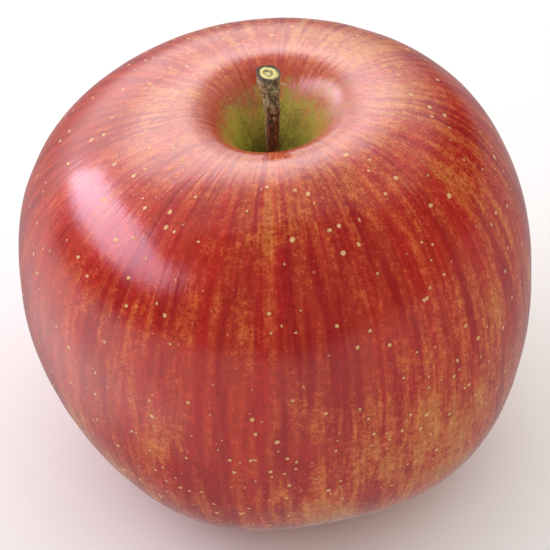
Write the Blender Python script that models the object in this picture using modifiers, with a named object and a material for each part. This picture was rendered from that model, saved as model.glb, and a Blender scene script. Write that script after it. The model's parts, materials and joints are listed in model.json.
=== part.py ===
"""Red apple: one fruit with its stem, and the dried flower's sepals, stamens and styles in the eye.

The fruit is a turned profile that is then pushed out of round: a fuller side, a leaning base and five
base lobes. It stands on the flats of those lobes. Units are metres, +Z is up, and the origin is the
centre of the fruit's box at the height of the surface that it stands on.
"""

import math

import bmesh
import bpy
import numpy as np
from mathutils import Matrix, Vector

MM = 0.001

# Fruit: the turned profile before it is pushed out of round, and the flats it keeps at its feet.
FRUIT_RADIUS = 44.0 * MM
FRUIT_HEIGHT = 73.4 * MM
WIDEST_HEIGHT = 40.0 * MM
CREST_RADIUS = 16.6 * MM
FOOT_RADIUS = 16.0 * MM
SHOULDER_FULLNESS = 2.13
BASE_FULLNESS = 2.23
FRUIT_STEPS = 60
CAVITY_POINTS = 10
SHOULDER_POINTS = 13
FLANK_POINTS = 17
BASIN_POINTS = 8

# Stem cavity: a funnel that runs down from the crest to the stem's socket.
CAVITY_DEPTH = 15.2 * MM
CAVITY_FLARE = 1.2
CAVITY_ROLL = 3.0
SOCKET_RADIUS = 1.75 * MM
SOCKET_DEPTH = 3.0 * MM

# Eye basin: a bowl that runs up from the feet to the calyx tube.
BASIN_DEPTH = 8.0 * MM
BASIN_FLARE = 1.9
BASIN_ROLL = 1.7
EYE_RADIUS = 5.0 * MM
TUBE_RADIUS = 2.7 * MM
TUBE_DEPTH = 4.5 * MM

# Out of round: harmonics as shares of the radius, leans as shares of x, shifts at the base.
OVAL_SHARE = 0.011
OVAL_TURN = math.radians(42.6)
THREE_SIDED_SHARE = 0.012
THREE_SIDED_TURN = math.radians(-3.0)
FULL_SIDE_RISE = 0.090
FULL_SIDE_DROP = -0.102
BASE_SHIFT = Vector((2.7, 1.0)) * MM
LOBES = 5
LOBE_TURN = math.radians(-111.3)
LOBE_SHARE = 0.021
LOBE_HEIGHT = 0.55 * MM
FOOT_FLAT = 0.25 * MM  # how far the lobes' lowest points are flattened where they carry the fruit

# Stem: its middle line as (x, y, height above the cavity floor) and the radius there, in millimetres.
STEM_GAP = 0.35 * MM
STEM_LINE = (
    (0.00, 0.00, -3.00, 1.35),
    (0.00, 0.00, 0.50, 1.35),
    (-0.25, 0.00, 5.00, 1.15),
    (-0.35, 0.05, 10.00, 1.17),
    (-0.38, 0.10, 14.00, 1.25),
    (-0.60, 0.12, 17.00, 1.42),
    (-0.85, 0.15, 19.00, 1.78),
    (-0.92, 0.18, 20.40, 2.06),
    (-0.92, 0.18, 21.60, 2.08),
    (-0.92, 0.18, 23.00, 2.00),
)
STEM_SIDES = 14
STEM_STEPS_PER_KNOT = 2
STEM_CUT_HEIGHT = 21.2 * MM
STEM_CUT_LEAN = Vector((0.16, -0.05, 1.0))
STEM_SHARP_ANGLE = math.radians(50)

# Eye: sepals round the tube's mouth, stamens inside them and the styles in the middle.
PIECE_GAP = 0.35 * MM
SEPALS = 5
SEPAL_FACES_ACROSS = 4
SEPAL_FACES_ALONG = 7
SEPAL_LENGTH = 5.2 * MM
SEPAL_HALF_WIDTH = 1.75 * MM
SEPAL_TIP_HALF_WIDTH = 0.22 * MM
SEPAL_THICKNESS = 0.45 * MM
SEPAL_FOOT_RADIUS = 3.9 * MM
SEPAL_NECK_RADIUS = 2.45 * MM
SEPAL_TIP_RADIUS = 3.1 * MM
SEPAL_NECK_AT = 0.62
SEPAL_TAPER = 1.5
STAMENS = 10
STAMEN_RADIUS = 0.20 * MM
STAMEN_RING = 1.30 * MM
STAMEN_LENGTHS = (6.6, 5.8, 7.1, 6.2, 5.5)
STAMEN_BOW = 0.12 * MM
STAMEN_SPLAY = 0.16 * MM
STAMEN_SIDES = 6
STYLES_RADIUS = 0.45 * MM
STYLES_LENGTH = 6.0 * MM
STYLES_SIDES = 8


def clear_scene():
    for obj in list(bpy.data.objects):
        bpy.data.objects.remove(obj, do_unlink=True)


def material(name, colour, roughness, metallic=0.0):
    made = bpy.data.materials.new(name)
    made.use_nodes = True
    shader = made.node_tree.nodes["Principled BSDF"]
    shader.inputs["Base Color"].default_value = (*colour, 1.0)
    shader.inputs["Roughness"].default_value = roughness
    shader.inputs["Metallic"].default_value = metallic
    return made


def add_object(name, data, collection, parent, finish):
    obj = bpy.data.objects.new(name, data)
    collection.objects.link(obj)
    obj.parent = parent
    if finish.name not in data.materials:
        data.materials.append(finish)
    return obj


def made_mesh(obj):
    """The object's evaluated shape as a mesh of its own, in the object's frame."""
    bpy.context.view_layer.update()
    graph = bpy.context.evaluated_depsgraph_get()
    return bpy.data.meshes.new_from_object(obj.evaluated_get(graph))


def weld(mesh, within=1e-6):
    work = bmesh.new()
    work.from_mesh(mesh)
    bmesh.ops.remove_doubles(work, verts=work.verts, dist=within)
    bmesh.ops.recalc_face_normals(work, faces=work.faces)
    work.to_mesh(mesh)
    work.free()


def hollow(share, flare, roll):
    """Depth of a rolled-over hollow, from 1 in its middle (share 0) to 0 at its rim (share 1)."""
    return (1 - share**flare) ** roll


def superellipse(turn, fullness):
    """(out, up) on a quarter superellipse, from straight up (turn 0) to straight out (a quarter turn)."""
    return math.sin(turn) ** (2 / fullness), math.cos(turn) ** (2 / fullness)


def fruit_profile():
    """(radius, height) from the stem's socket, over the crest and the widest ring, to the calyx tube."""
    floor = FRUIT_HEIGHT - CAVITY_DEPTH
    points = [(0.0, floor - SOCKET_DEPTH), (SOCKET_RADIUS, floor - SOCKET_DEPTH)]
    for share in np.linspace(0.0, 1.0, CAVITY_POINTS)[:-1]:
        radius = SOCKET_RADIUS + (CREST_RADIUS - SOCKET_RADIUS) * share
        points.append((radius, FRUIT_HEIGHT - CAVITY_DEPTH * hollow(share, CAVITY_FLARE, CAVITY_ROLL)))
    for turn in np.linspace(0.0, math.pi / 2, SHOULDER_POINTS):
        out, up = superellipse(turn, SHOULDER_FULLNESS)
        radius = CREST_RADIUS + (FRUIT_RADIUS - CREST_RADIUS) * out
        points.append((radius, WIDEST_HEIGHT + (FRUIT_HEIGHT - WIDEST_HEIGHT) * up))
    for turn in np.linspace(math.pi / 2, 0.0, FLANK_POINTS)[1:]:
        out, down = superellipse(turn, BASE_FULLNESS)
        radius = FOOT_RADIUS + (FRUIT_RADIUS - FOOT_RADIUS) * out
        points.append((radius, WIDEST_HEIGHT * (1 - down)))
    for share in np.linspace(1.0, 0.0, BASIN_POINTS)[1:]:
        radius = EYE_RADIUS + (FOOT_RADIUS - EYE_RADIUS) * share
        points.append((radius, BASIN_DEPTH * hollow(share, BASIN_FLARE, BASIN_ROLL)))
    points.append((TUBE_RADIUS, BASIN_DEPTH))
    points.append((TUBE_RADIUS, BASIN_DEPTH + TUBE_DEPTH))
    points.append((0.0, BASIN_DEPTH + TUBE_DEPTH))
    return points


def out_of_round(point):
    """Where a point of the turned fruit goes on the grown one."""
    radius = math.hypot(point.x, point.y)
    angle = math.atan2(point.y, point.x)
    top = (point.z - WIDEST_HEIGHT) / (FRUIT_HEIGHT - WIDEST_HEIGHT)
    low = (WIDEST_HEIGHT - point.z) / WIDEST_HEIGHT
    top, low = (min(max(share, 0.0), 1.0) for share in (top, low))
    inward = 1.0
    if top > 0 and radius < CREST_RADIUS:
        top = 1.0
    if low > 0 and radius < FOOT_RADIUS:
        low = 1.0
        inward = radius / FOOT_RADIUS
    middle = 1 - max(top, low) ** 2
    lobe = math.cos(LOBES * (angle - LOBE_TURN))
    oval = OVAL_SHARE * math.cos(2 * (angle - OVAL_TURN))
    three_sided = THREE_SIDED_SHARE * math.cos(3 * (angle - THREE_SIDED_TURN))
    radius *= 1 + oval + three_sided + LOBE_SHARE * low**1.5 * lobe * inward
    shift = BASE_SHIFT * low**2
    x, y = radius * math.cos(angle), radius * math.sin(angle)
    rise = (FULL_SIDE_RISE * top + FULL_SIDE_DROP * middle) * x
    rise += LOBE_HEIGHT * low**3 * (1 - lobe) * inward**2
    return Vector((x + shift.x, y + shift.y, max(point.z + rise, FOOT_FLAT) - FOOT_FLAT))


def build_fruit(collection, parent, finish):
    profile = bpy.data.meshes.new("fruit_profile")
    points = fruit_profile()
    edges = [(i, i + 1) for i in range(len(points) - 1)]
    profile.from_pydata([(radius, 0.0, height) for radius, height in points], edges, [])
    fruit = add_object("fruit", profile, collection, parent, finish)
    turned = fruit.modifiers.new("turned", "SCREW")
    turned.steps = turned.render_steps = FRUIT_STEPS
    turned.use_merge_vertices = True
    turned.merge_threshold = 0.00001
    fruit.data = made_mesh(fruit)
    fruit.modifiers.clear()
    bpy.data.meshes.remove(profile)
    fruit.data.name = "fruit"
    for vertex in fruit.data.vertices:
        vertex.co = out_of_round(vertex.co)
    fruit.data.shade_smooth()
    return fruit


def build_stem(collection, parent, finish):
    floor = FRUIT_HEIGHT - CAVITY_DEPTH - FOOT_FLAT
    line = bpy.data.curves.new("stem_line", "CURVE")
    line.dimensions = "3D"
    line.bevel_depth = 1.0 * MM
    line.bevel_resolution = STEM_SIDES // 2 - 2
    line.use_fill_caps = True
    line.resolution_u = STEM_STEPS_PER_KNOT
    spline = line.splines.new("BEZIER")
    spline.bezier_points.add(len(STEM_LINE) - 1)
    for knot, (x, y, height, radius) in zip(spline.bezier_points, STEM_LINE):
        knot.co = Vector((x, y, height)) * MM
        knot.handle_left_type = knot.handle_right_type = "AUTO"
        knot.radius = radius
    spline.bezier_points[0].co.z += STEM_GAP
    drawn = add_object("stem_drawn", line, collection, parent, finish)
    mesh = made_mesh(drawn)
    bpy.data.objects.remove(drawn)
    bpy.data.curves.remove(line)
    weld(mesh)
    cut_square(mesh, Vector((0.0, 0.0, STEM_CUT_HEIGHT)), STEM_CUT_LEAN)
    stem = add_object("stem", mesh, collection, parent, finish)
    stem.location.z = floor
    mesh.shade_smooth()
    mesh.set_sharp_from_angle(angle=STEM_SHARP_ANGLE)


def cut_square(mesh, place, normal):
    """Cuts off what lies past a plane and closes the cut with one face."""
    work = bmesh.new()
    work.from_mesh(mesh)
    everything = work.verts[:] + work.edges[:] + work.faces[:]
    bmesh.ops.bisect_plane(work, geom=everything, plane_co=place, plane_no=normal, clear_outer=True)
    rim = [edge for edge in work.edges if edge.is_boundary]
    bmesh.ops.contextual_create(work, geom=rim)
    bmesh.ops.recalc_face_normals(work, faces=work.faces)
    work.to_mesh(mesh)
    work.free()


def sepal_line(along):
    """Distance of a sepal's middle line from the eye's axis: in to the neck, then out to its curled tip."""
    if along < SEPAL_NECK_AT:
        share = 0.5 - 0.5 * math.cos(math.pi * along / SEPAL_NECK_AT)
        return SEPAL_FOOT_RADIUS + (SEPAL_NECK_RADIUS - SEPAL_FOOT_RADIUS) * share
    share = ((along - SEPAL_NECK_AT) / (1 - SEPAL_NECK_AT)) ** 2
    return SEPAL_NECK_RADIUS + (SEPAL_TIP_RADIUS - SEPAL_NECK_RADIUS) * share


def build_sepals(collection, eye, finish):
    """Five pointed leaves that close over the eye and curl out at their tips, hanging down the basin."""
    work = bmesh.new()
    bmesh.ops.create_grid(work, x_segments=SEPAL_FACES_ACROSS, y_segments=SEPAL_FACES_ALONG, size=1.0)
    for vertex in work.verts:
        across, along = vertex.co.x, (vertex.co.y + 1) / 2
        half_width = SEPAL_TIP_HALF_WIDTH + SEPAL_HALF_WIDTH * (1 - along**SEPAL_TAPER)
        radius = sepal_line(along)
        angle = across * half_width / radius
        vertex.co = (radius * math.cos(angle), radius * math.sin(angle), -SEPAL_LENGTH * along)
    mesh = bpy.data.meshes.new("sepal")
    work.to_mesh(mesh)
    work.free()
    for number in range(SEPALS):
        sepal = add_object(f"sepal_{number + 1}", mesh, collection, eye, finish)
        sepal.location.z = -PIECE_GAP - SEPAL_THICKNESS / 2
        sepal.rotation_euler.z = 2 * math.pi * (number + 0.5) / SEPALS
        wall = sepal.modifiers.new("wall", "SOLIDIFY")
        wall.thickness = SEPAL_THICKNESS
        wall.offset = 0.0
    mesh.shade_smooth()


def build_filament(name, points, radius, sides, collection, eye, finish):
    """A thin rod along the points, which are (place, radius share) from its root to its tip."""
    line = bpy.data.curves.new(name, "CURVE")
    line.dimensions = "3D"
    line.bevel_depth = radius
    line.bevel_resolution = sides // 2 - 2
    line.use_fill_caps = True
    spline = line.splines.new("POLY")
    spline.points.add(len(points) - 1)
    for knot, (place, share) in zip(spline.points, points):
        knot.co = (*place, 1.0)
        knot.radius = share
    return add_object(name, line, collection, eye, finish)


def build_stamens(collection, eye, finish):
    """Dried stamens in a ring, rooted in the tube and leaning a little apart at their shrivelled tips."""
    root = TUBE_DEPTH - PIECE_GAP
    for number in range(STAMENS):
        angle = 2 * math.pi * (number + 0.25) / STAMENS
        outward = Vector((math.cos(angle), math.sin(angle), 0.0))
        sideways = Vector((-math.sin(angle), math.cos(angle), 0.0))
        bow = sideways * STAMEN_BOW * math.sin(2.4 * number)
        foot = outward * STAMEN_RING + Vector((0.0, 0.0, root))
        down = Vector((0.0, 0.0, -STAMEN_LENGTHS[number % len(STAMEN_LENGTHS)] * MM))
        points = (
            (foot, 1.0),
            (foot + down * 0.35 + bow, 0.9),
            (foot + down * 0.75 - bow, 0.8),
            (foot + down * 0.88 + outward * STAMEN_SPLAY * 0.6, 1.35),
            (foot + down + outward * STAMEN_SPLAY, 0.9),
        )
        name = f"stamen_{number + 1:02d}"
        build_filament(name, points, STAMEN_RADIUS, STAMEN_SIDES, collection, eye, finish)


def build_styles(collection, eye, finish):
    """The five styles of the flower, dried together into one column."""
    root = TUBE_DEPTH - PIECE_GAP
    heights = ((0.0, 1.0), (0.3, 0.9), (0.7, 0.65), (0.9, 0.8), (1.0, 0.55))
    points = [(Vector((0.0, 0.0, root - STYLES_LENGTH * along)), share) for along, share in heights]
    build_filament("styles", points, STYLES_RADIUS, STYLES_SIDES, collection, eye, finish)


def centre_on_origin(apple, fruit):
    """Moves the whole apple so that the fruit's box stands centred on the origin."""
    corners = np.array([vertex.co for vertex in fruit.data.vertices])
    middle = (corners.min(axis=0) + corners.max(axis=0)) / 2
    apple.matrix_world = Matrix.Translation((-middle[0], -middle[1], 0.0))


def main():
    clear_scene()
    collection = bpy.data.collections.new("red_apple")
    bpy.context.scene.collection.children.link(collection)
    skin = material("waxy_red_skin", (0.42, 0.025, 0.018), 0.32)
    bark = material("stem_bark", (0.16, 0.075, 0.035), 0.75)
    dried_leaf = material("dried_sepal", (0.16, 0.12, 0.055), 0.85)
    dried_thread = material("dried_stamen", (0.10, 0.06, 0.03), 0.85)

    apple = bpy.data.objects.new("apple_frame", None)
    collection.objects.link(apple)
    eye = bpy.data.objects.new("eye_frame", None)
    collection.objects.link(eye)
    eye.parent = apple
    eye.location = (BASE_SHIFT.x, BASE_SHIFT.y, BASIN_DEPTH - FOOT_FLAT)

    fruit = build_fruit(collection, apple, skin)
    build_stem(collection, apple, bark)
    build_sepals(collection, eye, dried_leaf)
    build_stamens(collection, eye, dried_thread)
    build_styles(collection, eye, dried_thread)
    centre_on_origin(apple, fruit)


if __name__ == "__main__":
    main()
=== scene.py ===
"""Red apple: the finish of every piece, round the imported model, laid out as a Blender add-on.

Units are metres and +Z is up. Each piece is worked from its solid in the frame, so it stands where
that does.
"""

import json
import math

import bpy
import numpy as np
from bpy.props import FloatProperty, FloatVectorProperty, IntProperty, PointerProperty
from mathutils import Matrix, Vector, noise

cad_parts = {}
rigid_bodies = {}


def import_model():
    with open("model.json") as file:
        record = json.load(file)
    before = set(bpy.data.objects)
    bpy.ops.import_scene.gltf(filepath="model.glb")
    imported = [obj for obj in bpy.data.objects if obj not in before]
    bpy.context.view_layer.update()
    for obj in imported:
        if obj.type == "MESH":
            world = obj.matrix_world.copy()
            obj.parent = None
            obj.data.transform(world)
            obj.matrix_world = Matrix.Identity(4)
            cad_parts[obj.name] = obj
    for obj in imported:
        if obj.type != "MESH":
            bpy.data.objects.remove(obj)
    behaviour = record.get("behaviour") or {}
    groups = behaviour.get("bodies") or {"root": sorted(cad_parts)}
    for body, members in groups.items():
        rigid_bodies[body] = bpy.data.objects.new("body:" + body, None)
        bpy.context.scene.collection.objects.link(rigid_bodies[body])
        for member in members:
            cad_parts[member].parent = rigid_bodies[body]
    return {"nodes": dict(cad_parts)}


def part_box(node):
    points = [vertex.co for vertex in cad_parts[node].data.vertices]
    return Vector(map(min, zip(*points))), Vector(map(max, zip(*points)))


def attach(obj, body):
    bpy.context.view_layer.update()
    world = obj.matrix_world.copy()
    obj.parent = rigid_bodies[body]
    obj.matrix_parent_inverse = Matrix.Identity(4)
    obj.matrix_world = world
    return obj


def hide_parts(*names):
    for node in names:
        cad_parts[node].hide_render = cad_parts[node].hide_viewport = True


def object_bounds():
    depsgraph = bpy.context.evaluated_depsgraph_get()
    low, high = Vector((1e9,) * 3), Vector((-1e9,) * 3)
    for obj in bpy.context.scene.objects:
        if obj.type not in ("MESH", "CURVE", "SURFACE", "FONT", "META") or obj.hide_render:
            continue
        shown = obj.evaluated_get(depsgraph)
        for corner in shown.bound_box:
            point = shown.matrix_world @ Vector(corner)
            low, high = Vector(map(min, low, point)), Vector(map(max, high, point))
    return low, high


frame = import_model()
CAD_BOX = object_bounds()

bl_info = {
    "name": "Red apple",
    "version": (1, 0, 0),
    "blender": (4, 5, 0),
    "location": "View3D > Sidebar > Red apple",
    "description": "Finishes a whole red apple: waxy streaked skin, woody stem and the dried eye",
    "category": "Add Mesh",
}

MM = 0.001
NODES = frame["nodes"]
SEPALS = sorted(name for name in NODES if name.startswith("sepal_"))
STAMENS = sorted(name for name in NODES if name.startswith("stamen_"))


def linear(colour):
    """A "#rrggbb" sRGB colour as linear red, green and blue."""
    shares = (int(colour[i : i + 2], 16) / 255 for i in (1, 3, 5))
    return tuple(s / 12.92 if s <= 0.04045 else ((s + 0.055) / 1.055) ** 2.4 for s in shares)


def colour(name, description, default):
    """A colour that a user can change, from its sRGB hex value."""
    return FloatVectorProperty(
        name=name,
        description=description,
        default=linear(default),
        subtype="COLOR",
        size=3,
        min=0,
        max=1,
    )


def length(name, description, default):
    """A length that a user can change, in metres."""
    return FloatProperty(
        name=name, description=description, default=default, min=0, unit="LENGTH", precision=5
    )


def share(name, description, default):
    """A share from 0 to 1 that a user can change."""
    return FloatProperty(
        name=name, description=description, default=default, min=0, max=1, subtype="FACTOR"
    )


def level(name, description, default):
    """The brightness of a light that a user can change."""
    return FloatProperty(name=name, description=description, default=default, min=0)


# ---------------------------------------------------------------- settings


class AppleSkinSettings(bpy.types.PropertyGroup):
    """Sizes and colours of the fruit's skin."""

    smoothness: IntProperty(
        name="Smoothness", description="Subdivisions of the skin", default=2, min=0, max=3
    )
    swell: length("Swell", "Height of the broad, uneven swells that a grown fruit has", 0.22 * MM)
    swell_width: length("Swell width", "Distance from one swell to the next", 17 * MM)
    crimson: colour("Crimson", "The darkest streaks of the blush", "#8E161A")
    red: colour("Red", "The blush between the streaks", "#B5251A")
    scarlet: colour("Scarlet", "The lighter streaks of the blush", "#C84A28")
    orange: colour("Orange", "Where the blush is thin", "#C26630")
    gold: colour("Gold", "The ground colour where it shows through the blush", "#C08A44")
    olive: colour("Olive", "The green skin deep in the stem cavity", "#6F6722")
    # Partly painted shade: olive darkens the cavity's green deep down, where shade falls.
    lime: colour("Lime", "The yellow-green skin higher in the stem cavity", "#A89E38")
    russet: colour("Russet", "The corky brown skin round the foot of the stem", "#6B5026")
    dusty: colour("Dusty", "The dull pink skin that lines the top of the stem cavity", "#B4604C")
    pore: colour("Pore", "The cream cork of the pores", "#D9B070")
    speck: colour("Speck", "The small pores that are still closed", "#D98E72")
    wax: share("Wax", "Roughness of the polished wax on the skin", 0.20)


class AppleStemSettings(bpy.types.PropertyGroup):
    """Sizes and colours of the stem."""

    furrow: length("Furrow", "Depth of the furrows in the bark", 0.10 * MM)
    lump: length("Lump", "Height of the lumps round the swollen end", 0.34 * MM)
    curl: length("Curl", "Thickness of the strip of bark that curls off the stem", 0.20 * MM)
    rim: length("Rim", "Thickness of the bark round the cut wood", 0.55 * MM)
    red_bark: colour("Red bark", "The young bark low on the stem", "#7E3A29")
    grey_bark: colour("Grey bark", "The weathered bark high on the stem", "#968A62")
    crevice: colour("Crevice", "Dirt and shadow in the furrows", "#20160D")
    # This pale colour serves the rubbed fibres, the torn strip and the painted highlight on the
    # stem's left edge.
    scuffed_and_highlight: colour("Scuffed", "Raised fibres that are rubbed pale", "#C2A57C")
    wood: colour("Wood", "The dry cut wood", "#EADD92")
    pith: colour("Pith", "The pith and the open vessels in the cut", "#43340F")


class AppleEyeSettings(bpy.types.PropertyGroup):
    """Colours of the dried flower in the eye."""

    sepal: colour("Sepal", "The dried sepals", "#6E5B38")
    down: colour("Down", "The pale down on the sepals", "#A39878")
    thread: colour("Thread", "The dried stamens and styles", "#4A3220")
    anther: colour("Anther", "Their shrivelled tips", "#1F150D")


class AppleStageSettings(bpy.types.PropertyGroup):
    """The floor, the lamps and the camera."""

    floor: colour("Floor", "The pale floor", "#F4F3F1")
    distance: length("Distance", "From the camera to the middle of the apple", 0.42)
    elevation: FloatProperty(
        name="Elevation",
        description="Camera above the horizon",
        default=math.radians(40.7),
        subtype="ANGLE",
    )
    lens: FloatProperty(
        name="Lens", description="Focal length in millimetres", default=159.1, min=10
    )
    ceiling: level("Ceiling", "Brightness of the lamp overhead", 0.5)
    side: level("Side", "Brightness of the low lamp at the left", 2.2)
    room: level("Room", "Brightness of the walls all round", 0.86)
    mirrored: level("Mirrored", "Brightness of the windows that the wax mirrors", 0.86)


# ---------------------------------------------------------------- modelling


def deselect_all():
    """Deselects every object, so that an operator acts only on what comes next."""
    for obj in bpy.context.view_layer.objects:
        obj.select_set(False)


def activate(obj):
    """Makes an object the only one selected, and the active one."""
    deselect_all()
    obj.select_set(True)
    bpy.context.view_layer.objects.active = obj


def merged_copy(node, name):
    """A copy of a node's solid under a new name, its loose triangles merged, and active."""
    piece = bpy.data.objects.new(name, NODES[node].data.copy())
    bpy.context.scene.collection.objects.link(piece)
    piece.data.name = name
    piece.data.materials.clear()
    activate(piece)
    bpy.ops.object.mode_set(mode="EDIT")
    bpy.ops.mesh.select_all(action="SELECT")
    bpy.ops.mesh.remove_doubles(threshold=0.001 * MM)
    bpy.ops.mesh.customdata_custom_splitnormals_clear()
    bpy.ops.mesh.normals_make_consistent(inside=False)
    bpy.ops.object.mode_set(mode="OBJECT")
    return piece


def make_quads(piece):
    """Joins the piece's triangles in pairs, so that it subdivides evenly."""
    activate(piece)
    bpy.ops.object.mode_set(mode="EDIT")
    bpy.ops.mesh.select_all(action="SELECT")
    bpy.ops.mesh.tris_convert_to_quads(face_threshold=math.pi, shape_threshold=math.pi)
    bpy.ops.object.mode_set(mode="OBJECT")


def subdivide(piece, levels):
    """Rounds the piece with applied subdivision."""
    activate(piece)
    finer = piece.modifiers.new("finer", "SUBSURF")
    finer.levels = finer.render_levels = levels
    bpy.ops.object.modifier_apply(modifier=finer.name)


def places(mesh):
    """The mesh's vertex places as rows of x, y and z."""
    flat = np.empty(len(mesh.vertices) * 3)
    mesh.vertices.foreach_get("co", flat)
    return flat.reshape(-1, 3)


def outward(mesh):
    """The mesh's vertex normals as rows of x, y and z."""
    flat = np.empty(len(mesh.vertices) * 3)
    mesh.vertex_normals.foreach_get("vector", flat)
    return flat.reshape(-1, 3)


def set_places(mesh, rows):
    """Moves the mesh's vertices to new rows of x, y and z."""
    mesh.vertices.foreach_set("co", np.ascontiguousarray(rows, dtype=np.float32).ravel())
    mesh.update()


def add_attribute(mesh, name, kind, rows):
    """Stores a value for each vertex: kind FLOAT for one number, FLOAT_VECTOR for three."""
    field = "vector" if kind == "FLOAT_VECTOR" else "value"
    made = mesh.attributes.new(name, kind, "POINT")
    made.data.foreach_set(field, np.asarray(rows, dtype=np.float32).ravel())


def smoothstep(low, high, values):
    """0 at low, 1 at high and an even ease between; falls instead where low is above high."""
    across = np.clip((values - low) / (high - low), 0, 1)
    return across * across * (3 - 2 * across)


def relief(rows, size, seed):
    """Smooth noise from -1 to 1 at each place, with features of a given size."""
    offset = Vector((seed, 2.7 * seed, -1.3 * seed))
    return np.array([noise.noise(Vector(row) / size + offset) for row in rows])


def finish_piece(piece, slot, *nodes):
    """Shades the piece smooth and puts it in place of its nodes. The slot it is given is not used.
    """
    piece.data.shade_smooth()
    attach(piece, "root")
    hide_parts(*nodes)


# ---------------------------------------------------------------- nodes of the materials


def add(tree, kind, inputs=None, **settings):
    """Adds a node with its settings. An input takes a value, a socket or a node's first output."""
    made = tree.nodes.new("ShaderNode" + kind)
    for name, value in settings.items():
        setattr(made, name, value)
    for name, value in (inputs or {}).items():
        if isinstance(name, int):
            socket = made.inputs[name]
        else:
            socket = next(s for s in made.inputs if s.enabled and s.name == name)
        if isinstance(value, bpy.types.Node):
            value = next(s for s in value.outputs if s.enabled)
        if isinstance(value, bpy.types.NodeSocket):
            tree.links.new(value, socket)
        elif socket.type == "RGBA" and len(value) == 3:
            socket.default_value = (*value, 1)
        else:
            socket.default_value = value
    return made


def new_material(name):
    """A new material, its node tree and its shader."""
    material = bpy.data.materials.new(name)
    material.use_nodes = True
    shader = material.node_tree.nodes["Principled BSDF"]
    return material, material.node_tree, shader


def set_stops(ramp, stops):
    """Gives a colour ramp its (position, colour) stops."""
    elements = ramp.color_ramp.elements
    while len(elements) > 1:
        elements.remove(elements[-1])
    for number, (position, value) in enumerate(stops):
        stop = elements[0] if number == 0 else elements.new(position)
        stop.position = position
        stop.color = (*value, 1)


# ---------------------------------------------------------------- fruit

EQUATOR = 44 * MM  # radius of the fruit at its widest ring

# Stretches of skin over which one look gives way to the next, as distances along the skin from the
# middle of the stem's socket.
CAVITY_LINING_ENDS = (19 * MM, 28 * MM)
CAVITY_WALL = 24 * MM  # from the socket to the crest's inner edge
PORES_BEGIN = (23 * MM, 30 * MM)
SWELLS_BEGIN = (24 * MM, 32 * MM)
GREEN_ENDS = (30 * MM, 39 * MM)
THIN_CREST_ENDS = (32 * MM, 46 * MM)
CREST_FIBRES_END = (38 * MM, 52 * MM)
SMALL_PORES_GROW = (55 * MM, 85 * MM)
SWELLS_END = (100 * MM, 118 * MM)


def lines_of_growth(mesh):
    """Each vertex's direction round the core as x and y, and its distance along the skin as z.

    The skin's rings are counted from the pole in the stem's socket, so the lines run over the
    crest, down the flank and into the eye, as the fibres of a real skin do.
    """
    rows = places(mesh)
    neighbours = [set() for _ in rows]
    for edge in mesh.edges:
        a, b = edge.vertices
        neighbours[a].add(b)
        neighbours[b].add(a)
    crowd = sorted(range(len(rows)), key=lambda i: len(neighbours[i]))[-2:]
    front = [max(crowd, key=lambda i: rows[i][2])]
    ring = np.full(len(rows), -1)
    number = 0
    while front:
        ring[front] = number
        number += 1
        front = sorted({j for i in front for j in neighbours[i] if ring[j] < 0})
    middles = np.array([rows[ring == k].mean(axis=0) for k in range(number)])
    out = rows - middles[ring]
    out[:, 2] = 0
    wide = np.linalg.norm(out, axis=1, keepdims=True)
    radii = np.array([wide[ring == k].mean() for k in range(number)])
    heights = middles[:, 2]
    steps = np.hypot(np.diff(radii), np.diff(heights))
    along = np.concatenate([[0], np.cumsum(steps)])[ring]
    lines = out / np.maximum(wide, 1e-9)
    lines[:, 2] = along
    return lines


def build_skin(settings):
    """The fruit's solid, rounded and given the broad swells of a grown fruit."""
    piece = merged_copy("fruit", "apple_skin")
    lines = lines_of_growth(piece.data)
    add_attribute(piece.data, "growth", "FLOAT_VECTOR", lines)
    make_quads(piece)
    subdivide(piece, settings.smoothness)
    rows = places(piece.data)
    along = np.empty(len(rows) * 3)
    piece.data.attributes["growth"].data.foreach_get("vector", along)
    along = along.reshape(-1, 3)[:, 2]
    free = smoothstep(*SWELLS_BEGIN, along) * smoothstep(*reversed(SWELLS_END), along)
    swell = relief(rows, settings.swell_width, 3.0)
    swell = swell + 0.35 * relief(rows, settings.swell_width / 3, 9.0)
    rows = rows + outward(piece.data) * (settings.swell * swell * free)[:, None]
    set_places(piece.data, rows)
    piece.data.materials.append(skin_material(settings))
    finish_piece(piece, "waxy_red_skin", "fruit")


def streaks(tree, growth, width, run, low, high, seed, detail):
    """Streaks along the lines of growth, from 0 to 1, as wide as given at the widest ring."""
    round_core = EQUATOR / width
    scale = (round_core, round_core, 1 / run)
    laid = add(tree, "Mapping", {"Vector": growth, "Location": (0, 0, seed), "Scale": scale})
    lines = add(
        tree,
        "TexNoise",
        {"Vector": laid, "Scale": 1.0, "Detail": detail, "Roughness": 0.5},
    )
    return add(
        tree,
        "MapRange",
        {"Value": lines, "From Min": low, "From Max": high},
        interpolation_type="SMOOTHSTEP",
    )


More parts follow.
